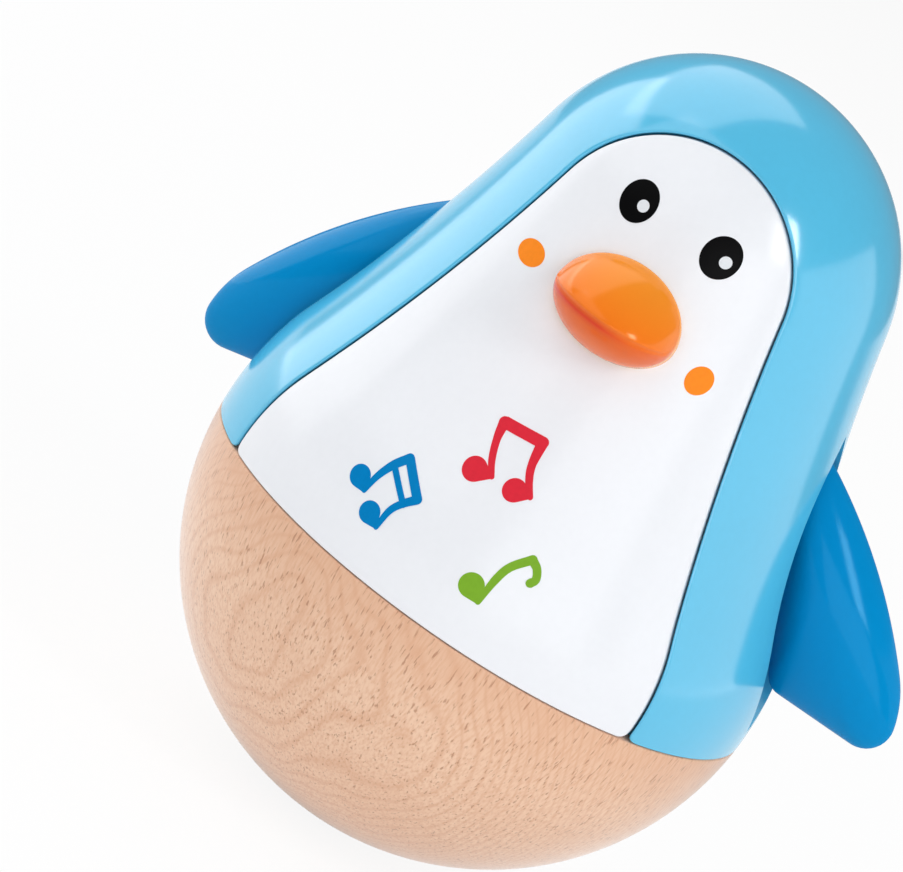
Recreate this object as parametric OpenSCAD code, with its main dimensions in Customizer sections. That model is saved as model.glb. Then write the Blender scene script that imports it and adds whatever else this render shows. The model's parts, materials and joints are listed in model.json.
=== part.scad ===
// Roly-poly penguin: a turned beech bowl carries a moulded shell with a face panel, a beak
// and two hinged wings, and holds a ballast disc and a chime that rings as the toy rocks.
// +Z is up along the toy's axis, the face looks towards -Y, and the origin is the middle
// of the flat that the toy rests on.

/* [Body] */
// Diameter of the round base
base_d = 91; // [86:0.5:98]
// Height from the rest flat to the crown
body_h = 128.8; // [124:0.2:140]
// Radius of the head
head_r = 29.7; // [28:0.1:32]
// Radius of the hollow flank between base and head
flank_r = 300; // [220:5:600]
// Diameter of the flat under the base
rest_flat_d = 10; // [6:0.5:16]
// Height of the seam between wood and plastic
seam_z = 43.2; // [41:0.1:45]
// Wall of the moulded shell
shell_t = 2.4; // [2:0.1:3]

/* [Wooden base] */
// Wall of the turned bowl
bowl_wall = 8; // [6:0.5:10]
// Width of the rim that the shell stands on
rim_w = 4.3; // [3.6:0.1:6]
// Diameter of the ballast disc
ballast_d = 48; // [40:1:52]
// Thickness of the ballast disc
ballast_h = 14; // [8:0.5:16]
// Height of the bowl's floor under the ballast
floor_z = 12; // [10:0.5:14]

/* [Face panel] */
// Distance from the front outline to the panel's edge
panel_inset = 11; // [8:0.5:14]
// Gap round the panel
panel_gap = 0.3; // [0.2:0.05:0.6]
// Width of the ledge behind the panel's edge
ledge_w = 2.5; // [1.5:0.1:4]
// Thickness of the ledge
ledge_t = 2; // [1.5:0.1:2.5]
// Height of the sill that closes the opening behind the panel's lower edge
sill_h = 3.5; // [2.5:0.1:6]

/* [Beak] */
// Width of the beak across its corners
beak_w = 20; // [16:0.1:22]
// Height of the beak at its base
beak_h = 14; // [10:0.1:15]
// Reach of the beak in front of the panel
beak_reach = 8.6; // [6:0.1:11]
// Drop of the beak's corners below the middle of the head
beak_drop = 6.7; // [4:0.1:10]

/* [Wings] */
// Height of the hinge pin
pin_z = 77.6; // [75:0.1:80]
// Depth of the hinge pin under the shell's outer face
pin_depth = 11.4; // [10.5:0.1:12.5]
// Diameter of the hinge pin
pin_d = 3; // [2.4:0.1:3.5]
// Greatest thickness of a wing
wing_t = 11.6; // [9:0.1:12]
// Radius of the wing's outer edge
wing_edge_r = 82; // [70:1:120]
// Radius of the wing's tip
wing_tip_r = 4.4; // [3.5:0.1:5]
// Reach of the tip's centre out from the pin
wing_reach = 26.7; // [24:0.1:28]
// Height of the tip's centre above the slot's lower end
tip_rise = 3.8; // [2.4:0.1:5.4]
// Height of the slot that a wing swings in
slot_h = 44; // [43:0.1:46]
// Width of the slot
slot_w = 15.6; // [15:0.1:17]
// Swing of a wing from its inner stop to its outer stop, in degrees
wing_swing = 22; // [16:1:24]
// How far the left wing stands out from its inner stop, in degrees
left_out = 0; // [0:0.5:16]
// How far the right wing stands out from its inner stop, in degrees
right_out = 16; // [0:0.5:16]

/* [Chime] */
// Diameter of a tone rod
rod_d = 2.4; // [2:0.1:3]
// Free length of the shortest tone rod
rod_short = 16; // [15:0.5:18]
// Step in length from one tone rod to the next
rod_step = 2; // [1:0.1:2.2]
// Diameter of the striker's ball
ball_d = 9; // [7:0.1:10]
// Distance from the striker's pin to the middle of its ball
striker_l = 14.5; // [13:0.1:15.5]
// Distance between the two pins of the striker's link
link_l = 6.5; // [6:0.1:7.5]
// Swing of the link each way, in degrees
link_swing = 14; // [8:1:15]
// Swing of the striker each way, in degrees
striker_swing = 20; // [10:1:21]
// Distance between the legs of the striker's bridge
bridge_span = 42; // [40:0.5:46]
// Height of the bridge's legs
bridge_leg_h = 20; // [18:0.5:22]

/* [Hidden] */
$fn = 96;
ROD_COUNT = 8;

// Clearances and the overrun of cuts
fit_gap = 0.15;
pin_gap = 0.05;
side_gap = 0.3;
overrun = 1;
at_front = -90;
at_back = 90;
ledge_lap = fit_gap / 2;

// Body outline: base circle, hollow flank circle and head circle, each tangent to the next
base_r = base_d / 2;
base_cz = sqrt(base_r ^ 2 - (rest_flat_d / 2) ^ 2);
head_cz = body_h - head_r;
centre_gap = head_cz - base_cz;
flank_dz = ((base_r + flank_r) ^ 2 - (head_r + flank_r) ^ 2 + centre_gap ^ 2) / (2 * centre_gap);
flank_cz = base_cz + flank_dz;
flank_cx = sqrt((base_r + flank_r) ^ 2 - flank_dz ^ 2);
flank_foot_z = base_cz + flank_dz * base_r / (base_r + flank_r);
flank_top_z = head_cz + (flank_cz - head_cz) * head_r / (head_r + flank_r);
flank_steps = 8;
lap_share = 0.1;
function body_r(z) =
    z < flank_foot_z ? sqrt(base_r ^ 2 - (z - base_cz) ^ 2)
    : z < flank_top_z ? flank_cx - sqrt(flank_r ^ 2 - (flank_cz - z) ^ 2)
    : sqrt(head_r ^ 2 - (z - head_cz) ^ 2);

// Wooden base
hollow_r = base_r - bowl_wall;
rebate_r = body_r(seam_z) - rim_w;
socket_step = 1.2;
socket_depth = 10;
ballast_screw_d = 3.6;
ballast_screw_l = 19;
ballast_screw_ring_r = 14.4;
ballast_head_d = 7.2;
ballast_head_h = 2.2;
ballast_screw_count = 3;

// Chassis
chassis_t = 3;
chassis_r = rebate_r - fit_gap;
skirt_t = 2.2;
skirt_r = rebate_r - socket_step - fit_gap;
skirt_h = socket_depth - fit_gap - chassis_t;
sound_hole_d = 8;
sound_hole_count = 6;

// Small screws: shank, head and the pilot hole's clearance
screw_d = 2.4;
screw_head_d = 4.6;
screw_head_h = 1.6;
screw_bite = 5;

// Posts inside the shell, two beside the panel and two at the back
post_d = 7;
post_edge = 5.6;
post_ring_r = skirt_r - skirt_t - post_edge;
post_h = 13;
post_web_t = 2;
post_web_lift = 3;
post_turns = [65, 135, 225, 295];

// Distance in front of the axis behind which nothing of the panel or its ledge reaches
front_start = 9;

// Beak: a socketed moulding on a plate that two screws hold to the panel. Its base is an almond,
// taller above the line of its corners than below
panel_t = shell_t - fit_gap;
beak_z = head_cz - beak_drop;
beak_slope = asin((flank_cz - beak_z) / flank_r);
beak_wall_h = 0.4;
beak_plate_drop = 6;
beak_plate_t = 1.6;
beak_plate_w = 9;
beak_screw_reach = 11;
beak_boss_d = 6;
beak_screw_bite = 3.6;
beak_ridge_power = 1.35;
beak_round_power = 0.75;
beak_droop_share = 0.3;
beak_almond_power = 1.3;
beak_upper_share = 0.54;
beak_sides = 48;
beak_rings = 8;

// Wing slot: a lens of two equal arcs, the mouth of a closed pocket
slot_drop = 8.4;
slot_z = pin_z - slot_drop;
slot_arc_r = ((slot_h / 2) ^ 2 + (slot_w / 2) ^ 2) / slot_w;
pocket_t = 2;
pin_x = body_r(pin_z) - pin_depth;
knuckle_r = 4.2;
knuckle_gap = 0.5;
lug_t = 3.4;
lug_r = 4.6;
lug_bar_share = 0.9;
function slot_half_w(z) = sqrt(slot_arc_r ^ 2 - (z - slot_z) ^ 2) - (slot_arc_r - slot_w / 2);
knuckle_half_l = slot_half_w(pin_z + knuckle_r) - side_gap;
lug_y = slot_half_w(pin_z);

// Wing outline, from the pin: rounds at the top, the tip and the heel
wing_top_r = 3.2;
wing_top_out = 6;
slot_top_gap = 4.2;
wing_top_up = slot_h / 2 - slot_drop - wing_top_r - slot_top_gap;
wing_top = [wing_top_out, wing_top_up];
wing_drop = slot_h / 2 + slot_drop - tip_rise;
wing_tip = [wing_reach, -wing_drop];
wing_heel_r = 3;
wing_heel_back = 12.5;
wing_heel_up = 1.7;
wing_heel = wing_tip + [-wing_heel_back, wing_heel_up];
crown_out_share = 0.57;
crown_drop_share = 0.42;
wing_crown = [wing_reach * crown_out_share, -wing_drop * crown_drop_share];
outer_stop_x = norm(wing_top) * cos(atan2(wing_top_up, wing_top_out) + wing_swing)
    - wing_top_r - side_gap;
wing_dome_power = 0.72;
wing_arm_t = 6;
wing_arm_l = 9;
wing_arm_h = 4;
wing_rings = 6;
edge_steps = 16;
tip_steps = 12;
round_steps = 8;

// Chime. The block has flats beside the bridge's feet
block_r = 16;
block_h = 6;
block_top_z = seam_z + block_h;
rod_seat = 4.5;
chime_screw_ring_r = 7;
chime_screw_count = 3;
bridge_w = 8;
bridge_t = 3.2;
bridge_foot_h = 8;
bridge_foot_t = 6.4;
block_gap = 2.6;
block_flat_y = bridge_span / 2 - bridge_foot_t / 2 - block_gap;
sound_hole_ring_r = (block_r + post_ring_r) / 2;
bridge_arch_z = seam_z + bridge_leg_h;
bridge_crown_z = bridge_arch_z + bridge_span / 2 - bridge_t / 2;
eye_r = 2;
eye_w = 4;
ear_t = 1.6;
ear_drop = 3;
small_pin_d = 1.6;
link_pin_z = bridge_crown_z - ear_drop;
striker_pin_z = link_pin_z - link_l;
ball_z = striker_pin_z - striker_l;
stem_d = 2;
stem_seat = 3;
fork_base_t = 2;
fork_room = 1;
ear_in = eye_w / 2 + side_gap;
ear_out = ear_in + ear_t;
ball_reach = max((link_l + striker_l) * sin(link_swing), striker_l * sin(striker_swing));
rod_gap = 0.5;
rod_side = ball_reach + ball_d / 2 + rod_gap + rod_d / 2;
rod_pair_half = 5;

// Shared shapes

// Points along an arc from angle a0 to a1
function arc(c, r, a0, a1, steps) =
    [for (i = [0:steps]) let (a = a0 + (a1 - a0) * i / steps) c + r * [cos(a), sin(a)]];

// Points up the right flank, moved in from the outer face. The end ones lie a little way
// inside the base and the head, on the lines of the first and last stretch
function flank_points(inset) = let (
        at_foot = 180 + atan2(flank_dz, flank_cx),
        at_top = 180 + atan2(flank_cz - head_cz, flank_cx),
        p = arc([flank_cx, flank_cz], flank_r + inset, at_foot, at_top, flank_steps),
        n = flank_steps)
    concat([p[0] + (p[0] - p[1]) * lap_share], [for (i = [1:n - 1]) p[i]],
        [p[n] + (p[n] - p[n - 1]) * lap_share]);

// Front outline of the body, moved in from the outer face
module outline(inset) {
    right = flank_points(inset);
    n = len(right);
    translate([0, base_cz]) circle(base_r - inset);
    polygon(concat(right, [for (i = [n - 1:-1:0]) [-right[i].x, right[i].y]]));
    translate([0, head_cz]) circle(head_r - inset);
}

// Solid of the body above the seam, moved in from the outer face. The turn starts at an angle
// that the cuts leave clear
module body_solid(inset, start = at_front) {
    rotate([0, 0, start]) rotate_extrude() intersection() {
        outline(inset);
        translate([0, seam_z]) square([base_d, body_h]);
    }
}

// Block well in front of the axis with the body's front outline above a height, moved in
module front_block(inset, from_z = 0) {
    translate([0, -front_start, 0]) rotate([90, 0, 0]) linear_extrude(base_d) intersection() {
        outline(inset);
        translate([-base_r, from_z]) square([base_d, body_h]);
    }
}

// Lens of the wing slot, grown all round
module slot_lens(grow) {
    shift = slot_arc_r - slot_w / 2;
    intersection() {
        translate([-shift, slot_z]) circle(slot_arc_r + grow);
        translate([shift, slot_z]) circle(slot_arc_r + grow);
    }
}

// Room for a wing's swing, seen from the front and from the pin: it follows the wing's back edge
// at the inner stop, passes round the knuckle and rises to the outer stop
module swing_room(grow) {
    turn = line_normal(wing_heel, wing_heel_r, wing_top, wing_top_r);
    behind = [cos(turn), sin(turn)];
    low = wing_heel + (wing_heel_r + side_gap + grow) * behind;
    high = wing_top + (wing_top_r + side_gap + grow) * behind;
    low_end = low + (low - high);
    polygon([low_end, [base_d, low_end.y], [base_d, high.y], high]);
    circle(knuckle_r + knuckle_gap + grow);
    translate([outer_stop_x - grow, 0]) square(base_d);
}

// Air of the right wing's pocket, grown all round
module pocket_room(grow) {
    intersection() {
        rotate([90, 0, 90]) linear_extrude(base_d) slot_lens(grow);
        at_right_pin() rotate([90, 0, 0]) linear_extrude(base_d, center = true) swing_room(grow);
    }
}

module both_sides() {
    children();
    mirror([1, 0, 0]) children();
}

// Screw with its head's seat at zero and its tip along +Z
module screw(d, l, head_d, head_h) {
    cylinder(d = d, h = l);
    translate([0, 0, -head_h]) cylinder(d = head_d, h = head_h);
}

module small_screw(l) {
    screw(screw_d, l, screw_head_d, screw_head_h);
}

module ring_of(count, r, start = 90) {
    for (i = [0:count - 1]) rotate([0, 0, start + 360 * i / count]) translate([r, 0, 0]) children();
}

// Places of the posts round the axis, counted from the face
module at_posts() {
    for (turn = post_turns) rotate([0, 0, turn - 90]) translate([post_ring_r, 0, 0]) children();
}

// Frame on the panel at the beak, with +Z out along the panel's normal
module at_beak() {
    translate([0, -body_r(beak_z), beak_z]) rotate([90 - beak_slope, 0, 0]) children();
}

module at_beak_screws() {
    at_beak() for (side = [-1, 1]) translate([0, side * beak_screw_reach, -beak_plate_drop]) children();
}

module at_bridge_feet() {
    for (side = [-1, 1]) translate([0, side * bridge_span / 2, 0]) children();
}

module at_right_pin() {
    translate([pin_x, 0, pin_z]) children();
}

// Rod along Y, centred
module rod_y(d, l) {
    rotate([90, 0, 0]) cylinder(d = d, h = l, center = true);
}

// Rod along X, centred
module rod_x(d, l) {
    rotate([0, 90, 0]) cylinder(d = d, h = l, center = true);
}

// Wooden base and ballast

module wood_section() {
    top = seam_z + overrun;
    difference() {
        intersection() {
            translate([0, base_cz]) circle(base_r);
            square([base_d, seam_z]);
        }
        intersection() {
            translate([0, base_cz]) circle(hollow_r);
            translate([0, floor_z]) square([base_d, top - floor_z]);
        }
        translate([0, floor_z]) square([ballast_d / 2 + fit_gap, ballast_h]);
        translate([0, seam_z - socket_depth]) square([rebate_r - socket_step, socket_depth + overrun]);
        translate([0, seam_z - chassis_t]) square([rebate_r, chassis_t + overrun]);
    }
}

module at_ballast_screws() {
    translate([0, 0, floor_z + ballast_h]) ring_of(ballast_screw_count, ballast_screw_ring_r)
        mirror([0, 0, 1]) children();
}

module wood_base() {
    color([0.88, 0.74, 0.60]) difference() {
        rotate_extrude() wood_section();
        at_ballast_screws() cylinder(d = ballast_screw_d + 2 * pin_gap, h = ballast_screw_l + overrun);
    }
}

module ballast() {
    color([0.45, 0.46, 0.48]) difference() {
        translate([0, 0, floor_z]) cylinder(d = ballast_d, h = ballast_h);
        at_ballast_screws() translate([0, 0, -overrun])
            cylinder(d = ballast_screw_d + 2 * pin_gap, h = ballast_h + 2 * overrun);
    }
}

module ballast_screws() {
    color([0.75, 0.75, 0.76]) at_ballast_screws()
        screw(ballast_screw_d, ballast_screw_l, ballast_head_d, ballast_head_h);
}

// Chassis

module chassis() {
    below = chassis_t + overrun;
    color([0.90, 0.90, 0.88]) difference() {
        rotate_extrude() {
            translate([0, seam_z - chassis_t]) square([chassis_r, chassis_t]);
            translate([skirt_r - skirt_t, seam_z - chassis_t - skirt_h]) square([skirt_t, skirt_h + fit_gap]);
        }
        translate([0, 0, seam_z - below]) {
            ring_of(sound_hole_count, sound_hole_ring_r, 0) cylinder(d = sound_hole_d, h = 2 * below);
            ring_of(chime_screw_count, chime_screw_ring_r) cylinder(d = screw_d + 2 * fit_gap, h = 2 * below);
            at_posts() cylinder(d = screw_d + 2 * fit_gap, h = 2 * below);
            at_bridge_feet() cylinder(d = screw_d + 2 * fit_gap, h = 2 * below);
        }
    }
}

module chassis_screws() {
    color([0.75, 0.75, 0.76]) translate([0, 0, seam_z - chassis_t])
        at_posts() small_screw(chassis_t + screw_bite);
}

// Shell

module shell_wall() {
    edge = panel_inset - panel_gap;
    difference() {
        body_solid(0);
        body_solid(shell_t);
        front_block(edge);
    }
    intersection() {
        difference() {
            body_solid(shell_t - ledge_lap);
            body_solid(shell_t + ledge_t);
        }
        difference() {
            front_block(edge - ledge_w);
            front_block(panel_inset + ledge_w, seam_z + sill_h);
        }
    }
}

module shell_posts() {
    translate([0, 0, seam_z]) at_posts() {
        cylinder(d = post_d, h = post_h);
        translate([0, -post_web_t / 2, post_web_lift])
            cube([base_r - post_ring_r, post_web_t, post_h - post_web_lift]);
    }
}

// Plates that carry a wing's pin, on the right side
module pin_lugs() {
    bar_h = 2 * lug_r * lug_bar_share;
    at_right_pin() for (side = [-1, 1]) translate([0, side * (lug_y + lug_t / 2), 0]) {
        rod_y(2 * lug_r, lug_t);
        translate([0, -lug_t / 2, -bar_h / 2]) cube([pin_depth, lug_t, bar_h]);
    }
}

module body_shell() {
    color([0.44, 0.76, 0.88]) difference() {
        union() {
            shell_wall();
            intersection() {
                body_solid(shell_t / 2);
                union() {
                    shell_posts();
                    both_sides() {
                        pocket_room(pocket_t);
                        pin_lugs();
                    }
                }
            }
        }
        both_sides() {
            pocket_room(0);
            at_right_pin() rod_y(pin_d + 2 * pin_gap, 2 * (lug_y + lug_t + overrun));
        }
        translate([0, 0, seam_z - overrun]) at_posts()
            cylinder(d = screw_d + 2 * pin_gap, h = screw_bite + 2 * overrun);
    }
}

// Face panel and beak

// Edge of the beak at its base, grown all round
function beak_edge(grow) =
    [for (i = [0:beak_sides - 1]) let (a = 360 * i / beak_sides, s = sin(a))
        [(beak_w / 2 + grow) * cos(a), sign(s) * beak_half_h(s) * abs(s) ^ beak_almond_power + grow * s]];

// Height of the beak's base above or below the line of its corners
function beak_half_h(side) = beak_h * (side > 0 ? beak_upper_share : 1 - beak_upper_share);

// Height of the beak over its base at a point of its plan
function beak_rise(x, y) = let (
        across = sqrt(max(0, 1 - (2 * x / beak_w) ^ 2)),
        edge = beak_half_h(y) * across ^ beak_almond_power,
        up = edge > 0 ? min(1, abs(y) / edge) : 1)
    beak_reach * across * (1 - up ^ beak_ridge_power) ^ beak_round_power;

module face_panel() {
    color([0.94, 0.95, 0.96]) difference() {
        union() {
            intersection() {
                difference() {
                    body_solid(0, at_back);
                    body_solid(panel_t, at_back);
                }
                front_block(panel_inset);
            }
            intersection() {
                body_solid(panel_t / 2, at_back);
                at_beak_screws() cylinder(d = beak_boss_d, h = beak_plate_drop);
            }
        }
        at_beak() translate([0, 0, -beak_plate_drop]) linear_extrude(2 * beak_plate_drop)
            polygon(beak_edge(fit_gap));
        at_beak_screws() translate([0, 0, -overrun])
            cylinder(d = screw_d + 2 * pin_gap, h = beak_screw_bite + 2 * overrun);
    }
}

// Domed front of the beak: rings of points from the base edge up to the ridge's middle
module beak_dome() {
    ring_share = [for (k = [0:beak_rings - 1]) cos(90 * k / beak_rings)];
    base_ring = [for (p = beak_edge(0)) [p.x, p.y, -beak_plate_drop]];
    dome_rings = [for (k = [0:beak_rings - 1]) for (p = beak_edge(0))
        let (q = p * ring_share[k], rise = k == 0 ? 0 : beak_rise(q.x, q.y))
        [q.x, q.y - beak_droop_share * rise, beak_wall_h + rise]];
    tip = [0, -beak_droop_share * beak_reach, beak_wall_h + beak_reach];
    points = concat(base_ring, dome_rings, [tip]);
    n = beak_sides;
    tip_index = n * (beak_rings + 1);
    sides = [for (k = [0:beak_rings - 1]) for (i = [0:n - 1]) let (j = (i + 1) % n) each
        [[k * n + i, (k + 1) * n + i, (k + 1) * n + j], [k * n + i, (k + 1) * n + j, k * n + j]]];
    cap = [for (i = [0:n - 1]) [beak_rings * n + i, tip_index, beak_rings * n + (i + 1) % n]];
    polyhedron(points, concat([[for (i = [0:n - 1]) i]], sides, cap));
}

module beak_plate() {
    half = beak_screw_reach;
    translate([0, 0, -beak_plate_drop - beak_plate_t]) difference() {
        union() {
            translate([-beak_plate_w / 2, -half, 0]) cube([beak_plate_w, 2 * half, beak_plate_t]);
            for (side = [-1, 1]) translate([0, side * half, 0]) cylinder(d = beak_plate_w, h = beak_plate_t);
        }
        for (side = [-1, 1]) translate([0, side * half, -overrun])
            cylinder(d = screw_d + 2 * fit_gap, h = beak_plate_t + 2 * overrun);
    }
}

module beak() {
    color([0.95, 0.52, 0.14]) at_beak() {
        beak_dome();
        beak_plate();
    }
}

module beak_screws() {
    color([0.75, 0.75, 0.76]) at_beak_screws() translate([0, 0, -beak_plate_t])
        small_screw(beak_plate_t + beak_screw_bite);
}

// Wings

// Angle of the outward normal of the line that touches two rounds, walking clockwise
function line_normal(c1, r1, c2, r2) = let (d = c2 - c1)
    atan2(d.y, d.x) + acos((r1 - r2) / norm(d));

// Centre of the outer edge's arc, which touches the top round and the tip round inside
function edge_centre() = let (
        a = wing_edge_r - wing_top_r,
        b = wing_edge_r - wing_tip_r,
        d = wing_tip - wing_top,
        l = norm(d),
        along = (a ^ 2 - b ^ 2 + l ^ 2) / (2 * l),
        off = sqrt(a ^ 2 - along ^ 2))
    wing_top + d / l * along + [d.y, -d.x] / l * off;

// Outline of a wing in the pose where it rests on its inner stop, from the pin
function wing_outline() = let (
        e = edge_centre(),
        at_top = atan2(wing_top.y - e.y, wing_top.x - e.x),
        at_tip = atan2(wing_tip.y - e.y, wing_tip.x - e.x),
        below = line_normal(wing_tip, wing_tip_r, wing_heel, wing_heel_r) - 360,
        behind = line_normal(wing_heel, wing_heel_r, wing_top, wing_top_r))
    concat(
        arc(wing_top, wing_top_r, behind, at_top, round_steps),
        [for (i = [1:edge_steps - 1]) let (a = at_top + (at_tip - at_top) * i / edge_steps)
            e + wing_edge_r * [cos(a), sin(a)]],
        arc(wing_tip, wing_tip_r, at_tip, below, tip_steps),
        arc(wing_heel, wing_heel_r, below, behind - 360, round_steps));

// Pillow over an outline: rings that shrink towards the crown as they rise on both faces
module pillow(outline, crown, half_t) {
    n = len(outline);
    levels = 2 * wing_rings - 1;
    rings = [for (k = [1:levels]) let (a = 90 * (k / wing_rings - 1))
        for (p = outline) let (q = crown + (p - crown) * cos(a))
            [q.x, sign(a) * half_t * abs(sin(a)) ^ (2 * wing_dome_power), q.y]];
    points = concat(rings, [[crown.x, -half_t, crown.y], [crown.x, half_t, crown.y]]);
    front = n * levels;
    back = front + 1;
    sides = [for (k = [0:levels - 2]) for (i = [0:n - 1]) let (j = (i + 1) % n) each
        [[k * n + i, (k + 1) * n + j, k * n + j], [k * n + i, (k + 1) * n + i, (k + 1) * n + j]]];
    front_cap = [for (i = [0:n - 1]) [front, i, (i + 1) % n]];
    back_cap = [for (i = [0:n - 1]) [back, (levels - 1) * n + (i + 1) % n, (levels - 1) * n + i]];
    polyhedron(points, concat(sides, front_cap, back_cap));
}

// Wing on the right side, turned out from its inner stop
module wing(out) {
    at_right_pin() rotate([0, -out, 0]) difference() {
        union() {
            pillow(wing_outline(), wing_crown, wing_t / 2);
            rod_y(2 * knuckle_r, 2 * knuckle_half_l);
            translate([0, -wing_arm_t / 2, 0]) cube([wing_arm_l, wing_arm_t, wing_arm_h]);
        }
        rod_y(pin_d + 2 * pin_gap, base_d);
    }
}

module wing_pin() {
    at_right_pin() rod_y(pin_d, 2 * (lug_y + lug_t));
}

module wing_left() {
    color([0.02, 0.50, 0.78]) mirror([1, 0, 0]) wing(left_out);
}

module wing_right() {
    color([0.02, 0.50, 0.78]) wing(right_out);
}

module wing_pin_left() {
    color([0.78, 0.78, 0.80]) mirror([1, 0, 0]) wing_pin();
}

module wing_pin_right() {
    color([0.78, 0.78, 0.80]) wing_pin();
}

// Chime

// Place of a tone rod: two stand on each side of a square round the ball
module at_rod(i) {
    rotate([0, 0, 90 * floor(i / 2)]) translate([rod_side, (i % 2 * 2 - 1) * rod_pair_half, 0]) children();
}

module chime_block() {
    color([0.62, 0.63, 0.66]) difference() {
        translate([0, 0, seam_z]) intersection() {
            cylinder(r = block_r, h = block_h);
            translate([-base_r, -block_flat_y, -overrun])
                cube([base_d, 2 * block_flat_y, block_h + 2 * overrun]);
        }
        for (i = [0:ROD_COUNT - 1]) at_rod(i) translate([0, 0, block_top_z - rod_seat])
            cylinder(d = rod_d + 2 * pin_gap, h = rod_seat + overrun);
        translate([0, 0, seam_z - overrun]) ring_of(chime_screw_count, chime_screw_ring_r)
            cylinder(d = screw_d + 2 * pin_gap, h = screw_bite + overrun);
    }
}

module chime_screws() {
    color([0.75, 0.75, 0.76]) translate([0, 0, seam_z - chassis_t])
        ring_of(chime_screw_count, chime_screw_ring_r) small_screw(chassis_t + screw_bite - overrun);
}

module tone_rod(i) {
    color([0.80, 0.81, 0.83]) at_rod(i) translate([0, 0, block_top_z - rod_seat])
        cylinder(d = rod_d, h = rod_seat + rod_short + rod_step * i);
}

// Plate with a round eye at the origin and a flat top, square to X
module ear(top, half_w) {
    translate([-ear_t / 2, 0, 0]) rotate([90, 0, 90]) linear_extrude(ear_t) {
        circle(half_w);
        translate([-half_w * lug_bar_share, 0]) square([2 * half_w * lug_bar_share, top]);
    }
}

module striker_bridge() {
    outer = bridge_span / 2 + bridge_t / 2;
    inner = bridge_span / 2 - bridge_t / 2;
    color([0.90, 0.90, 0.88]) difference() {
        union() {
            translate([-bridge_w / 2, 0, 0]) rotate([90, 0, 90]) linear_extrude(bridge_w) {
                translate([0, bridge_arch_z]) intersection() {
                    difference() {
                        circle(outer);
                        circle(inner);
                    }
                    translate([-outer, 0]) square([2 * outer, outer]);
                }
                for (side = [-1, 1]) {
                    translate([side * bridge_span / 2 - bridge_t / 2, seam_z]) square([bridge_t, bridge_leg_h]);
                    translate([side * bridge_span / 2 - bridge_foot_t / 2, seam_z])
                        square([bridge_foot_t, bridge_foot_h]);
                }
            }
            for (side = [-1, 1]) translate([side * (ear_in + ear_t / 2), 0, link_pin_z])
                ear(ear_drop + bridge_t / 2, eye_r);
        }
        translate([0, 0, link_pin_z]) rod_x(small_pin_d + 2 * pin_gap, base_d);
        translate([0, 0, seam_z - overrun]) at_bridge_feet()
            cylinder(d = screw_d + 2 * pin_gap, h = screw_bite + 2 * overrun);
    }
}

module bridge_screws() {
    color([0.75, 0.75, 0.76]) translate([0, 0, seam_z - chassis_t])
        at_bridge_feet() small_screw(chassis_t + screw_bite);
}

module striker_link() {
    bar = eye_w * lug_bar_share;
    color([0.85, 0.72, 0.35]) difference() {
        union() {
            translate([0, 0, link_pin_z]) rod_x(2 * eye_r, eye_w);
            translate([0, 0, striker_pin_z]) rod_y(2 * eye_r, eye_w);
            translate([-bar / 2, -bar / 2, striker_pin_z]) cube([bar, bar, link_l]);
        }
        translate([0, 0, link_pin_z]) rod_x(small_pin_d + 2 * pin_gap, base_d);
        translate([0, 0, striker_pin_z]) rod_y(small_pin_d + 2 * pin_gap, base_d);
    }
}

module link_pin() {
    color([0.78, 0.78, 0.80]) translate([0, 0, link_pin_z]) rod_x(small_pin_d, 2 * ear_out);
}

module striker() {
    fork_top = eye_r + fork_room;
    color([0.85, 0.72, 0.35]) translate([0, 0, striker_pin_z]) difference() {
        union() {
            for (side = [-1, 1]) rotate([0, 0, 90]) translate([side * (ear_in + ear_t / 2), 0, 0])
                mirror([0, 0, 1]) ear(fork_top + fork_base_t / 2, eye_r);
            translate([-eye_r, -ear_out, -fork_top - fork_base_t]) cube([2 * eye_r, 2 * ear_out, fork_base_t]);
            translate([0, 0, -striker_l + ball_d / 2 - stem_seat])
                cylinder(d = stem_d, h = striker_l - ball_d / 2 + stem_seat - fork_top - fork_base_t / 2);
        }
        rod_y(small_pin_d + 2 * pin_gap, base_d);
    }
}

module striker_pin() {
    color([0.78, 0.78, 0.80]) translate([0, 0, striker_pin_z]) rod_y(small_pin_d, 2 * ear_out);
}

module striker_ball() {
    color([0.87, 0.75, 0.58]) translate([0, 0, ball_z]) difference() {
        sphere(d = ball_d);
        translate([0, 0, ball_d / 2 - stem_seat - pin_gap])
            cylinder(d = stem_d + 2 * pin_gap, h = stem_seat + overrun);
    }
}

wood_base();
ballast();
ballast_screws();
chassis();
chassis_screws();
body_shell();
face_panel();
beak();
beak_screws();
wing_left();
wing_right();
wing_pin_left();
wing_pin_right();
chime_block();
chime_screws();
for (i = [1:ROD_COUNT]) tone_rod(i - 1);
striker_bridge();
bridge_screws();
striker_link();
link_pin();
striker();
striker_pin();
striker_ball();
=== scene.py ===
# Wobbling penguin toy: a turned beech bowl, a glossy moulded body with a white face panel, a beak,
# two hinged wings and a small chime inside. Metres, +Z up, the face looks towards -Y.
import json
import math
from functools import partial

import bmesh
import bpy
import numpy as np
from mathutils import Matrix, Vector


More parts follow.
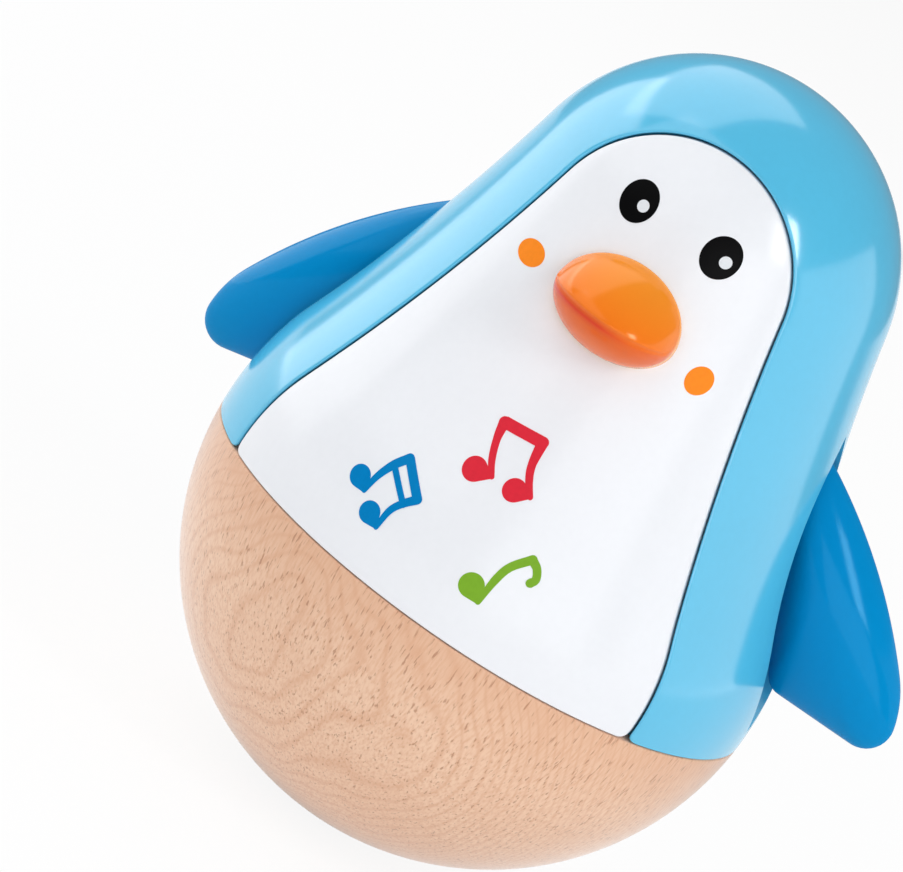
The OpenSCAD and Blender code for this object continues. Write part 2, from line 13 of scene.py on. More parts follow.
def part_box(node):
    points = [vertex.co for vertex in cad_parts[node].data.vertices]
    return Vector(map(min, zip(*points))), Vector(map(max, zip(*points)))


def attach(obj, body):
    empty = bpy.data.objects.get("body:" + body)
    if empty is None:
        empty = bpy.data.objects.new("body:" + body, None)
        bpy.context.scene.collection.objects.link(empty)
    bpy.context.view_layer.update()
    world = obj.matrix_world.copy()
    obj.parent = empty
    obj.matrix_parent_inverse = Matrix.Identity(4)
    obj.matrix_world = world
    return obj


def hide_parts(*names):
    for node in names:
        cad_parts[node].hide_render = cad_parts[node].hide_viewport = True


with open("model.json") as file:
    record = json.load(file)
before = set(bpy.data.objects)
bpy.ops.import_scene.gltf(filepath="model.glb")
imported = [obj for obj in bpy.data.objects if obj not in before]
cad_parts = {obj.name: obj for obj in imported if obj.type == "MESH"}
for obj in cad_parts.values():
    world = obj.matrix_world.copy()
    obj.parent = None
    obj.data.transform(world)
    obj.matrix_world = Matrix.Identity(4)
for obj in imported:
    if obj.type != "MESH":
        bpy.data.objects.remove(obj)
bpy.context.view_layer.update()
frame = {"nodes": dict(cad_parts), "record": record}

# Sizes of the body, from the frame where it has them
shell_low, shell_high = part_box("body_shell")
SEAM_Z = shell_low.z
BODY_H = shell_high.z
BASE_R = shell_high.y
HEAD_R = 0.0297
FLANK_R = 0.300
REST_FLAT_R = 0.005
SHELL_T = 0.0024
EDGE_ROUND = 0.0003
FOOT_GAP = 0.0002
FOOT_Z = SEAM_Z + FOOT_GAP

# Opening, panel and ledge, as distances in from the front outline
PANEL_INSET = 0.011
PANEL_GAP = 0.0003
OPENING_INSET = PANEL_INSET - PANEL_GAP
OPENING_ROUND = 0.0006
OPENING_CORNER_R = 0.0008
CORNER_STEPS = (0.04, 0.15, 0.32, 0.55, 0.8, 1.0)
LEDGE_W = 0.0025
LEDGE_T = 0.002
PANEL_T = 0.00225
PANEL_ROUND = 0.0002
PANEL_CORNER_R = 0.0011

# Wing pockets
pin_low, pin_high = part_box("wing_pin_right")
PIN_X = (pin_low.x + pin_high.x) / 2
PIN_Z = (pin_low.z + pin_high.z) / 2
SLOT_H = 0.044
SLOT_W = 0.0156
SLOT_DROP = 0.0084
POCKET_T = 0.002
SIDE_GAP = 0.0003
KNUCKLE_R = 0.0042
KNUCKLE_GAP = 0.0005
SLOT_EDGE_REACH = 0.003
CLOSED_SLOT = 1e-7
ON_AXIS = 1e-6
BISECTIONS = 40

# Wings, seen from the front and from the pin
WING_T = 0.0116
WING_EDGE_R = 0.085
WING_SHOULDER_R = 0.0175
WING_TIP = np.array([0.0267, -0.0266])
WING_TIP_R = 0.00438
WING_TOP = np.array([0.006, 0.0062])
WING_TOP_R = 0.0032
WING_HEEL = WING_TIP + np.array([-0.0125, 0.0017])
WING_HEEL_R = 0.003
WING_CROWN_SHARES = np.array([0.57, 0.42])
WING_DOME_POWER = 1.44
WING_EDGE_HOLD = 1.6
WING_SWING = math.radians(22)
RIGHT_WING_OUT = math.radians(16)
WING_ARM = (0.009, 0.006, 0.004)

# Beak
BEAK_W = 0.0194
BEAK_UPPER_H = 0.00756
BEAK_LOWER_H = 0.00644
BEAK_REACH = 0.0086
BEAK_DROP = 0.0067
BEAK_WALL_H = 0.0004
BEAK_SINK = 0.006
BEAK_RIDGE_POWER = 1.35
BEAK_ROUND_POWER = 0.75
BEAK_DROOP_SHARE = 0.3
MOUTH_DEPTH = 0.00035
MOUTH_PLACE = -0.10
MOUTH_WIDTH = 0.055
MOUTH_FADE = 1.6

# Bowl
RIM_W = 0.0043
REBATE_DEPTH = 0.003
SOCKET_STEP = 0.0012
SOCKET_DEPTH = 0.010
BOWL_WALL = 0.008
BOWL_FLOOR_Z = 0.012
BALLAST_GAP = 0.00015
RIM_ROUND_START = math.radians(15)

# Prints on the panel
PRINT_LIFT = 0.00003
GLINT_LIFT = 0.00006
PRINT_SINK = 0.0001
PRINT_STEP = 0.000004
MM = 0.001

# Wood: direction across its growth layers, layers in a metre, and how far they wander
LAYER_NORMAL = (-0.25, -0.85, -0.45)
LAYERS_PER_M = 880
LAYER_DRIFT = 16
# Height where the wood starts to darken towards the rim, partly for its grain and partly as painted
# shade
RIM_GRAIN_AND_SHADE_Z = 0.030

# Usual range of a noise, and the orange peel of a polished moulding
NOISE_LOW, NOISE_HIGH = 0.3, 0.7
PEEL_STRENGTH, PEEL_DEPTH = 0.004, 0.0004

# Steps over a rounded edge
ROUND_TURNS = [math.radians(a) for a in range(0, 91, 18)]

# Photograph's camera
PHOTO_W = 903
CAMERA_TURN = math.radians(9.86)
CAMERA_RISE = math.radians(13.40)
CAMERA_ROLL = math.radians(34.14)
CAMERA_DISTANCE = 0.700
CAMERA_AIM_Z = 0.05725
CAMERA_AIM_SIDE = -0.01477
FOCAL_PX = 4790
SENSOR_MM = 36

# Studio
FLOOR_HALF = 3.0
FLOOR_GLOW = 0.9
WORLD_STRENGTH = 0.28
LAMP_AIM = Vector((0, 0, 0.06))


# Body of revolution: base sphere, hollow flank and head sphere, each tangent to the next

base_cz = math.sqrt(BASE_R ** 2 - REST_FLAT_R ** 2)
head_cz = BODY_H - HEAD_R
centre_gap = head_cz - base_cz
flank_dz = ((BASE_R + FLANK_R) ** 2 - (HEAD_R + FLANK_R) ** 2
            + centre_gap ** 2) / (2 * centre_gap)
flank_cz = base_cz + flank_dz
flank_cx = math.sqrt((BASE_R + FLANK_R) ** 2 - flank_dz ** 2)
foot_angle = math.atan2(flank_dz, flank_cx)
top_angle = math.atan2(flank_cz - head_cz, flank_cx)
seam_angle = math.asin((FOOT_Z - base_cz) / BASE_R)
beak_z = head_cz - BEAK_DROP


def body_radius(z, inset=0.0):
    """Radius of the body at a height, moved in from the outer face."""
    if z < base_cz + (BASE_R - inset) * math.sin(foot_angle):
        return math.sqrt(max((BASE_R - inset) ** 2 - (z - base_cz) ** 2, 0))
    if z < head_cz + (HEAD_R - inset) * math.sin(top_angle):
        return flank_cx - math.sqrt((FLANK_R + inset) ** 2 - (flank_cz - z) ** 2)
    return math.sqrt(max((HEAD_R - inset) ** 2 - (z - head_cz) ** 2, 0))


def front_point(x, z, inset=0.0):
    """Point of the body's front half at a place of the front view."""
    return np.array([x, -math.sqrt(max(body_radius(z, inset) ** 2 - x * x, 0)), z])


def outline_point(station, d):
    """Front outline moved in by d, at a station (arc, share of the arc, side)."""
    arc, share, side = station
    if arc == "base":
        r = BASE_R - d
        start = math.asin((FOOT_Z - base_cz) / r)
        a = start + (foot_angle - start) * share
        x, z = r * math.cos(a), base_cz + r * math.sin(a)
    elif arc == "flank":
        a = foot_angle + (top_angle - foot_angle) * share
        x, z = flank_cx - (FLANK_R + d) * math.cos(a), flank_cz - (FLANK_R + d) * math.sin(a)
    else:
        a = top_angle + (math.pi / 2 - top_angle) * share
        x, z = (HEAD_R - d) * math.cos(a), head_cz + (HEAD_R - d) * math.sin(a)
    return side * x, z


def right_stations(step=0.001):
    """Stations up the right side, from the seam to just under the crown."""
    lengths = {
        "base": BASE_R * (foot_angle - seam_angle),
        "flank": FLANK_R * (foot_angle - top_angle),
        "head": HEAD_R * (math.pi / 2 - top_angle),
    }
    stations = []
    for arc, length in lengths.items():
        n = round(length / step)
        stations += [(arc, i / n, 1) for i in range(n)]
    return stations


def station_at_height(z):
    """Station on the right side at a height of the outer face."""
    if z < base_cz + BASE_R * math.sin(foot_angle):
        a = math.asin((z - base_cz) / BASE_R)
        return "base", (a - seam_angle) / (foot_angle - seam_angle), 1
    a = math.asin((flank_cz - z) / FLANK_R)
    return "flank", (a - foot_angle) / (top_angle - foot_angle), 1


def beak_axes():
    """Root of the beak on the body's face, and the directions up along the face and out of it."""
    slope = math.asin((flank_cz - beak_z) / FLANK_R)
    root = np.array([0, -body_radius(beak_z), beak_z])
    up = np.array([0, math.sin(slope), math.cos(slope)])
    out = np.array([0, -math.cos(slope), math.sin(slope)])
    return root, up, out


def arc_points(c, r, a0, a1, steps):
    """Points of an arc in a plane."""
    turns = np.linspace(a0, a1, steps + 1)
    return [c + r * np.array([math.cos(a), math.sin(a)]) for a in turns]


def between(a, b, steps):
    """Points inside a straight line, at even steps."""
    return [a + (b - a) * i / steps for i in range(1, steps)]


# Meshes

class Net:
    """Points and faces of a piece, made from rows of points."""

    def __init__(self):
        self.points, self.faces = [], []

    def row(self, points):
        start = len(self.points)
        self.points += [tuple(p) for p in points]
        return list(range(start, len(self.points)))

    def strip(self, a, b, closed=False):
        n = len(a)
        for i in range(n if closed else n - 1):
            j = (i + 1) % n
            self.faces.append((a[i], a[j], b[j], b[i]))

    def rows(self, rows, closed=False):
        ids = [self.row(r) for r in rows]
        for a, b in zip(ids, ids[1:]):
            self.strip(a, b, closed)
        return ids

    def fan(self, ring, tip, closed=True):
        tip = self.row([tip])[0]
        n = len(ring)
        for i in range(n if closed else n - 1):
            self.faces.append((ring[i], ring[(i + 1) % n], tip))

    def cap(self, ring):
        self.faces.append(tuple(ring))

    def piece(self, name, material, sharp_deg=38, merge=2e-6):
        """A closed piece with its doubles merged and its faces outwards."""
        mesh = bpy.data.meshes.new(name)
        mesh.from_pydata(self.points, [], self.faces)
        finish_mesh(mesh, sharp_deg, merge, least_edge=1e-8)
        mesh.materials.append(material)
        obj = bpy.data.objects.new(name, mesh)
        bpy.context.scene.collection.objects.link(obj)
        return obj


def finish_mesh(mesh, sharp_deg, merge, least_edge=None):
    """Merges doubles, turns the faces outwards and shades smooth up to an angle."""
    bm = bmesh.new()
    bm.from_mesh(mesh)
    bmesh.ops.remove_doubles(bm, verts=bm.verts, dist=merge)
    if least_edge:
        bmesh.ops.dissolve_degenerate(bm, edges=bm.edges, dist=least_edge)
    bmesh.ops.recalc_face_normals(bm, faces=bm.faces)
    bm.to_mesh(mesh)
    bm.free()
    mesh.shade_smooth()
    mesh.set_sharp_from_angle(angle=math.radians(sharp_deg))


def belongs(obj, body, slot, *nodes):
    """Rides a piece on its body and stands for CAD nodes, which it hides. The slot is not used."""
    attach(obj, body)
    if nodes:
        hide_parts(*nodes)


# Node trees

def new_node(tree, kind, **values):
    """Node in a tree, with its settings."""
    node = tree.nodes.new(kind)
    for key, value in values.items():
        setattr(node, key, value)
    return node


def math_node(tree, operation, a, b=None):
    """Result of an operation on numbers or sockets."""
    node = new_node(tree, "ShaderNodeMath", operation=operation)
    for socket, value in zip(node.inputs, (a, b)):
        if isinstance(value, (int, float)):
            socket.default_value = value
        elif value is not None:
            tree.links.new(value, socket)
    return node.outputs["Value"]


def blend_shaders(tree, share, a, b, end):
    """Two shaders blended by a share and led to an output node."""
    blend = new_node(tree, "ShaderNodeMixShader")
    for value, socket in zip((share, a, b), blend.inputs):
        tree.links.new(value, socket)
    tree.links.new(blend.outputs["Shader"], end.inputs["Surface"])


# Materials

class Recipe:
    """A node material with a Principled shader and helpers for its pattern."""

    def __init__(self, name):
        self.material = bpy.data.materials.new(name)
        self.material.use_nodes = True
        self.tree = self.material.node_tree
        self.shader = self.tree.nodes["Principled BSDF"]
        self.coords = self.node("ShaderNodeTexCoord").outputs["Object"]

    def node(self, kind, **values):
        return new_node(self.tree, kind, **values)

    def link(self, a, b):
        self.tree.links.new(a, b)

    def set(self, **values):
        for key, value in values.items():
            self.shader.inputs[key.replace("_", " ")].default_value = value

    def scaled(self, vector, scale):
        node = self.node("ShaderNodeMapping")
        node.inputs["Scale"].default_value = scale
        self.link(vector, node.inputs["Vector"])
        return node.outputs["Vector"]

    def noise(self, scale, vector=None, detail=2):
        node = self.node("ShaderNodeTexNoise")
        node.inputs["Scale"].default_value = scale
        node.inputs["Detail"].default_value = detail
        self.link(vector or self.coords, node.inputs["Vector"])
        return node.outputs["Fac"]

    def ramp(self, fac, stops):
        node = self.node("ShaderNodeValToRGB")
        ramp = node.color_ramp
        while len(ramp.elements) < len(stops):
            ramp.elements.new(0.5)
        for element, (place, colour) in zip(ramp.elements, stops):
            element.position = place
            element.color = (*colour, 1)
        self.link(fac, node.inputs["Fac"])
        return node.outputs["Color"]

    def levels(self, fac, low, high, to_low=0.0, to_high=1.0):
        node = self.node("ShaderNodeMapRange")
        keys = ("From Min", "From Max", "To Min", "To Max")
        for key, value in zip(keys, (low, high, to_low, to_high)):
            node.inputs[key].default_value = value
        self.link(fac, node.inputs["Value"])
        return node.outputs["Result"]

    def spread(self, noise, to_low=0.0, to_high=1.0):
        """The usual range of a noise carried to other values."""
        return self.levels(noise, NOISE_LOW, NOISE_HIGH, to_low, to_high)

    def along(self, direction):
        """Distance of a place along a direction."""
        node = self.node("ShaderNodeVectorMath", operation="DOT_PRODUCT")
        node.inputs[1].default_value = tuple(direction)
        self.link(self.coords, node.inputs[0])
        return node.outputs["Value"]

    def math(self, operation, a, b=None):
        return math_node(self.tree, operation, a, b)

    def mix(self, fac, a, b, blend="MIX"):
        node = self.node("ShaderNodeMix", data_type="RGBA", blend_type=blend)
        for index, value in ((0, fac), (6, a), (7, b)):
            socket = node.inputs[index]
            if isinstance(value, (int, float)):
                socket.default_value = value
            elif isinstance(value, tuple):
                socket.default_value = (*value, 1)
            else:
                self.link(value, socket)
        return node.outputs[2]

    def parts(self, vector=None):
        node = self.node("ShaderNodeSeparateXYZ")
        self.link(vector or self.coords, node.inputs["Vector"])
        return node.outputs

    def bump(self, height, strength, distance):
        node = self.node("ShaderNodeBump")
        node.inputs["Strength"].default_value = strength
        node.inputs["Distance"].default_value = distance
        self.link(height, node.inputs["Height"])
        self.link(node.outputs["Normal"], self.shader.inputs["Normal"])

    def colour(self, value):
        self.link(value, self.shader.inputs["Base Color"])

    def roughness(self, value):
        self.link(value, self.shader.inputs["Roughness"])


def srgb(r, g, b):
    """Linear colour from 8-bit sRGB values."""
    shares = (r / 255, g / 255, b / 255)
    return tuple(c / 12.92 if c <= 0.04045 else ((c + 0.055) / 1.055) ** 2.4 for c in shares)


def shaded(colour, share):
    """Colour made darker or lighter by a share."""
    return tuple(min(c * share, 1) for c in colour)


def polish(r, rough, gloss, tint, vary=0.05):
    """Fine gloss variation and orange peel of a polished moulding."""
    r.roughness(r.spread(r.noise(60), rough * (1 - vary), rough * (1 + vary)))
    r.set(IOR=1.5, Specular_IOR_Level=gloss, Specular_Tint=(*tint, 1))
    r.bump(r.noise(300, detail=1), PEEL_STRENGTH, PEEL_DEPTH)


def moulded_plastic(name, colour, rough, gloss=0.35, flow=0.02, speck=0.01, tint=(1, 1, 1)):
    """Glossy moulding with faint flow clouds and specks in its colour."""
    r = Recipe(name)
    clouds = r.spread(r.noise(38, detail=3), 1 - flow, 1 + flow)
    specks = r.spread(r.noise(900), -speck, speck)
    r.colour(r.mix(1.0, colour, r.math("ADD", clouds, specks), "MULTIPLY"))
    polish(r, rough, gloss, tint)
    return r.material


def printed_ink(name, colour):
    """Pad-printed ink: nearly even, a little matter than the panel, with a dusty grain."""
    r = Recipe(name)
    grain = r.noise(1500, detail=3)
    r.colour(r.mix(r.levels(grain, 0.35, 0.65), shaded(colour, 0.97), shaded(colour, 1.02)))
    r.roughness(r.spread(r.noise(300), 0.28, 0.38))
    r.set(IOR=1.48, Specular_IOR_Level=0.06)
    r.bump(grain, 0.03, 0.0001)
    return r.material


def beech(name):
    """Oiled beech: growth layers that show as ovals in front, fine fibre and short dark flecks."""
    pale, warm, fleck = srgb(238, 202, 174), srgb(216, 164, 130), srgb(150, 84, 48)
    face = Vector(LAYER_NORMAL).normalized()
    side = Vector((0, 0, 1)).cross(face).normalized()
    along = face.cross(side)
    r = Recipe(name)
    turned_block = r.node("ShaderNodeMapping")
    turned_block.inputs["Rotation"].default_value = Matrix((face, side, along)).to_euler()
    r.link(r.coords, turned_block.inputs["Vector"])
    block = turned_block.outputs["Vector"]
    drift = r.noise(24, r.scaled(block, (1, 1, 0.5)), detail=3)
    depth = r.math("ADD", r.math("MULTIPLY", r.parts(block)["X"], LAYERS_PER_M),
                   r.math("MULTIPLY", drift, LAYER_DRIFT))
    ring = r.levels(r.math("SINE", r.math("MULTIPLY", depth, 2 * math.pi)), -1, 1)
    fibre = r.noise(2800, r.scaled(r.coords, (1, 1, 0.06)), detail=3)
    base = r.mix(r.levels(r.math("POWER", ring, 5), 0.0, 1.0, 0.0, 0.44), pale, warm)
    base = r.mix(r.levels(fibre, 0.42, 0.70, 0.0, 0.62), base, warm)
    patches = r.levels(r.noise(60, block, detail=3), 0.4, 0.7, 0.0, 0.35)
    base = r.mix(patches, base, srgb(226, 182, 152))
    # Warmer and darker towards the rim: partly the tighter grain there, partly painted shade
    base = r.mix(r.levels(r.parts()["Z"], RIM_GRAIN_AND_SHADE_Z, SEAM_Z, 0.0, 0.55), base, warm)
    mark = r.levels(r.noise(2700, r.scaled(r.coords, (1, 1, 0.11))), 0.60, 0.69)
    r.colour(r.mix(r.math("MULTIPLY", mark, 0.5), base, fleck))
    r.roughness(r.spread(fibre, 0.46, 0.60))
    r.set(IOR=1.45, Specular_IOR_Level=0.35, Sheen_Weight=0.8, Sheen_Roughness=0.35)
    r.bump(r.math("SUBTRACT", r.math("MULTIPLY", fibre, 0.5), mark), 0.12, 0.0002)
    return r.material


def beak_orange(name):
    """Orange moulding with painted light and shade: lighter over the ridge, deeper below it,
    painted shade along the mouth line and a painted highlight round the foot.
    """
    root, up, out = beak_axes()
    foot = root + BEAK_WALL_H * out
    over_ridge = up + BEAK_DROOP_SHARE * out
    low = foot @ over_ridge - BEAK_LOWER_H
    height = BEAK_LOWER_H + BEAK_UPPER_H
    ridge = BEAK_LOWER_H / height
    black, white = (0, 0, 0), (1, 1, 1)
    r = Recipe(name)
    share = r.levels(r.along(over_ridge), low, low + height)
    # Painted light and shade: lighter over the ridge where light falls, deeper below it
    base = r.ramp(share, [
        (0.0, srgb(238, 110, 22)), (ridge - 0.17, srgb(230, 96, 20)),
        (ridge + 0.05, srgb(242, 122, 24)), (1.0, srgb(246, 148, 34))])
    # Painted shade in the crease under the ridge, weaker towards the side that the right lamps
    # light
    crease_shade = r.ramp(share, [(ridge - 0.16, black), (ridge - 0.085, white), (ridge - 0.01, black)])
    crease_shade_fade = r.levels(r.parts()["X"], 0.0005, 0.0055, 0.95, 0.25)
    base = r.mix(r.math("MULTIPLY", crease_shade, crease_shade_fade), base, srgb(214, 50, 30))
    # Painted highlight along the foot of the bill, where it stands out of the panel
    rim = r.levels(r.along(out), foot @ out - 0.0002, foot @ out + 0.0006, 0.7, 0.0)
    base = r.mix(rim, base, srgb(255, 178, 74))
    tone = r.spread(r.noise(60, detail=3), 0.97, 1.03)
    r.colour(r.mix(1.0, base, tone, "MULTIPLY"))
    polish(r, 0.14, 0.5, srgb(255, 222, 184), vary=1 / 14)
    return r.material


def metal(name, colour, rough, scratch=(1, 1, 0.05), strength=0.05):
    """Drawn or turned metal with fine lines and a mottled gloss."""
    r = Recipe(name)
    lines = r.noise(2600, r.scaled(r.coords, scratch), detail=3)
    r.colour(r.mix(r.spread(lines), shaded(colour, 0.88), shaded(colour, 1.06)))
    r.roughness(r.spread(r.noise(260, detail=4), rough * 0.75, rough * 1.3))
    r.set(Metallic=1.0)
    r.bump(lines, strength, 0.0001)
    return r.material


def plain_moulding(name, colour):
    """Matt inner moulding with a fine spark-eroded grain."""
    r = Recipe(name)
    grain = r.noise(2200, detail=3)
    r.colour(r.mix(r.spread(grain), shaded(colour, 0.95), shaded(colour, 1.02)))
    r.roughness(r.spread(r.noise(180, detail=3), 0.48, 0.62))
    r.bump(grain, 0.08, 0.0002)
    return r.material


SHELL_BLUE = moulded_plastic("shell_blue", srgb(80, 187, 225), rough=0.15, gloss=0.95)
PANEL_WHITE = moulded_plastic(
    "panel_white", srgb(234, 236, 240), rough=0.18, flow=0.008, speck=0.006)
WING_BLUE = moulded_plastic(
    "wing_blue", srgb(0, 135, 197), rough=0.14, gloss=0.20, tint=srgb(150, 226, 255))
BEAK_ORANGE = beak_orange("beak_orange")
BEECH = beech("beech")
INK_BLACK = printed_ink("ink_black", srgb(4, 4, 5))
INK_GLINT = printed_ink("ink_glint", srgb(222, 226, 230))
INK_ORANGE = printed_ink("ink_orange", srgb(247, 138, 36))
INK_RED = printed_ink("ink_red", srgb(216, 44, 60))
INK_BLUE = printed_ink("ink_blue", srgb(0, 124, 188))
INK_GREEN = printed_ink("ink_green", srgb(122, 170, 46))
STEEL = metal("steel", (0.62, 0.62, 0.64), 0.28)
IRON = metal("ballast_iron", (0.20, 0.20, 0.21), 0.5, scratch=(1, 1, 1), strength=0.2)
ALLOY = metal("chime_alloy", (0.52, 0.53, 0.55), 0.42, scratch=(1, 1, 1), strength=0.12)
BRASS = metal("brass", (0.72, 0.53, 0.20), 0.25)
INNER_WHITE = plain_moulding("inner_white", srgb(226, 226, 220))


# Shell

slot_z = PIN_Z - SLOT_DROP
slot_arc_r = ((SLOT_H / 2) ** 2 + (SLOT_W / 2) ** 2) / SLOT_W


def slot_half_width(z, grow=0.0):
    """Half width of the wing slot's lens at a height, grown all round."""
    r = slot_arc_r + grow
    off = abs(z - slot_z)
    return max(math.sqrt(r * r - off * off) - (slot_arc_r - SLOT_W / 2), 0) if off < r else 0


def slot_half_height(grow=0.0):
    """Half height of the wing slot's lens, grown all round."""
    return math.sqrt((slot_arc_r + grow) ** 2 - (slot_arc_r - SLOT_W / 2) ** 2)


def line_normal(c1, r1, c2, r2):
    """Angle of the outward normal of the line that touches two rounds, walking clockwise."""
    d = c2 - c1
    return math.atan2(d[1], d[0]) + math.acos((r1 - r2) / np.linalg.norm(d))


def pocket_floor(z, grow=0.0):
    """Place across of the pocket's floor at a height: it follows the wing's back edge, passes
    round the knuckle and rises to the outer stop."""
    turn = line_normal(WING_HEEL, WING_HEEL_R, WING_TOP, WING_TOP_R)
    behind = np.array([math.cos(turn), math.sin(turn)])
    low = WING_HEEL + (WING_HEEL_R + SIDE_GAP + grow) * behind
    high = WING_TOP + (WING_TOP_R + SIDE_GAP + grow) * behind
    up = z - PIN_Z
    place = low[0] + (high[0] - low[0]) * (up - low[1]) / (high[1] - low[1])
    knuckle = KNUCKLE_R + KNUCKLE_GAP + grow
    if abs(up) < knuckle:
        place = min(place, -math.sqrt(knuckle ** 2 - up ** 2))
    if up > 0:
        top_angle_out = math.atan2(WING_TOP[1], WING_TOP[0]) + WING_SWING
        stop = np.linalg.norm(WING_TOP) * math.cos(top_angle_out) - WING_TOP_R - SIDE_GAP - grow
        place = min(place, stop)
    return PIN_X + place


def slot_edge_inset(station, inset, grow):
    """Distance in from the outline at which the front face meets the slot's edge."""
    def past(d):
        x, z = outline_point(station, d)
        return math.sqrt(max(body_radius(z, inset) ** 2 - x * x, 0)) - slot_half_width(z, grow)
    low, high = inset, inset + SLOT_EDGE_REACH
    if slot_half_width(outline_point(station, inset)[1], grow) <= 0:
        return inset
    for _ in range(BISECTIONS):
        mid = (low + high) / 2
        low, high = (mid, high) if past(mid) < 0 else (low, mid)
    return (low + high) / 2


def corner_cut(station):
    """How far the opening's edge steps back round the shell's corner at the seam."""
    up = outline_point(station, OPENING_INSET)[1] - FOOT_Z
    if up >= OPENING_CORNER_R:
        return 0
    return OPENING_CORNER_R * (1 - math.sqrt(1 - (1 - max(up, 0) / OPENING_CORNER_R) ** 2))


def skin(net, stations, inset, grow, end_inset, across=14, round_back=72):
    """Face of the shell at an inset, without the opening and the slots: rows of the front half,
    right then left over the crown, and rows of the back half."""
    front = []
    for st in stations:
        start, end = slot_edge_inset(st, inset, grow), end_inset - corner_cut(st)
        row = []
        for k in range(across + 1):
            d = start + (end - start) * (k / across) ** 2
            row.append(front_point(*outline_point(st, d), inset))
        front.append(row)
    back = []
    for st in [s for s in stations if s[2] > 0]:
        r, z = outline_point(st, inset)
        if r < ON_AXIS:
            continue
        gap = math.asin(min(slot_half_width(z, grow) / r, 1))
        turns = [gap + (math.pi - 2 * gap) * j / round_back for j in range(round_back + 1)]
        back.append([np.array([r * math.cos(a), r * math.sin(a), z]) for a in turns])
    front_ids = net.rows(front)
    back_ids = net.rows(back)
    crown = front[len(front) // 2][0]
    net.fan(back_ids[-1], crown, closed=False)
    return front, front_ids, back, back_ids


def pocket(net, stations, front, back, grow):
    """Walls and floor of the two pockets, joined to the slot's edges in a skin."""
    rights = [i for i, s in enumerate(stations) if s[2] > 0]
    lefts = [len(stations) - 1 - i for i in rights]
    inset = SHELL_T if grow else 0
    for side, fronts, column in ((1, rights, 0), (-1, lefts, -1)):
        walls = []
        for f, row in zip(fronts, back):
            edges = front[f][0], row[column]
            if max(abs(e[1]) for e in edges) < CLOSED_SLOT:
                continue
            fore, aft = [np.array([side * pocket_floor(e[2], grow), e[1], e[2]]) for e in edges]
            walls.append([edges[0], fore, (fore + aft) / 2, aft, edges[1]])
        rows = net.rows(walls)
        for way, row in ((-1, rows[0]), (1, rows[-1])):
            tip_z = slot_z + way * slot_half_height(grow)
            tip = np.array([side * body_radius(tip_z, inset), 0, tip_z])
            foot = np.array([side * pocket_floor(tip_z, grow), 0, tip_z])
            tip_id, foot_id = net.row([tip, foot])
            edge_f, floor_f, mid, floor_b, edge_b = row
            net.faces += [(edge_f, floor_f, foot_id, tip_id), (floor_f, mid, foot_id),
                          (mid, floor_b, foot_id), (floor_b, edge_b, tip_id, foot_id)]


def edge_profile(stations):
    """Rows down the edge of the opening, each over the round and straight back along the wall."""
    rows = []
    for st in stations:
        edge = OPENING_INSET - corner_cut(st)
        line = [front_point(*outline_point(st, edge - OPENING_ROUND * (1 - math.sin(a))),
                            OPENING_ROUND * (1 - math.cos(a))) for a in ROUND_TURNS[1:]]
        line.append(front_point(*outline_point(st, edge), SHELL_T))
        rows.append(line)
    return rows


def shell_stations():
    """Stations round the front outline, with those at the slots' ends and the shell's corners."""
    rights = right_stations()
    rights += [station_at_height(slot_z + way * slot_half_height()) for way in (-1, 1)]
    corner_share = OPENING_CORNER_R / (BASE_R * (foot_angle - seam_angle))
    rights += [("base", corner_share * up, 1) for up in CORNER_STEPS]
    order = ("base", "flank", "head")
    rights.sort(key=lambda s: (order.index(s[0]), s[1]))
    return rights + [("head", 1.0, 1)] + [(arc, share, -1) for arc, share, _ in reversed(rights)]


def make_shell():
    """Moulded shell: an outer and an inner skin with pockets, the opening's edge and the foot."""
    stations = shell_stations()
    inner_end = OPENING_INSET - LEDGE_W
    net = Net()
    outer, outer_ids, outer_back, outer_back_ids = skin(
        net, stations, 0.0, 0.0, OPENING_INSET - OPENING_ROUND)
    pocket(net, stations, outer, outer_back, 0.0)
    inner, inner_ids, inner_back, inner_back_ids = skin(net, stations, SHELL_T, POCKET_T, inner_end)
    pocket(net, stations, inner, inner_back, POCKET_T)
    # Edge of the opening, the ledge behind it, and back to the inner face
    deep = SHELL_T + LEDGE_T
    ledge_end = PANEL_INSET + LEDGE_W
    ledge = ((ledge_end, SHELL_T), (ledge_end, deep), (inner_end, deep))
    lines = []
    for st, line in zip(stations, edge_profile(stations)):
        lines.append(line + [front_point(*outline_point(st, d), depth) for d, depth in ledge])
    ids = net.rows(lines)
    net.strip([row[-1] for row in outer_ids], [row[0] for row in ids])
    net.strip([row[-1] for row in ids], [row[-1] for row in inner_ids])
    # Foot of the shell on the wood
    for k in (0, -1):
        net.strip(outer_ids[k], inner_ids[k])
        net.cap([outer_ids[k][-1], *ids[k], inner_ids[k][-1]])
    net.strip(outer_back_ids[0], inner_back_ids[0])
    shell = net.piece("moulded_shell", SHELL_BLUE)
    belongs(shell, "toy", "shell_blue", "body_shell")


# Face panel and prints

def panel_side():
    """Right edge of the panel in the front view, from its foot up."""
    foot = outline_point(("base", 0.0, 1), PANEL_INSET)[0]
    centre = np.array([foot - PANEL_CORNER_R, FOOT_Z + PANEL_CORNER_R])
    corner = [tuple(p) for p in arc_points(centre, PANEL_CORNER_R, -math.pi / 2, 0, 8)]
    side = [outline_point(st, PANEL_INSET) for st in right_stations()]
    return corner + [(x, z) for x, z in side if z - FOOT_Z > PANEL_CORNER_R]


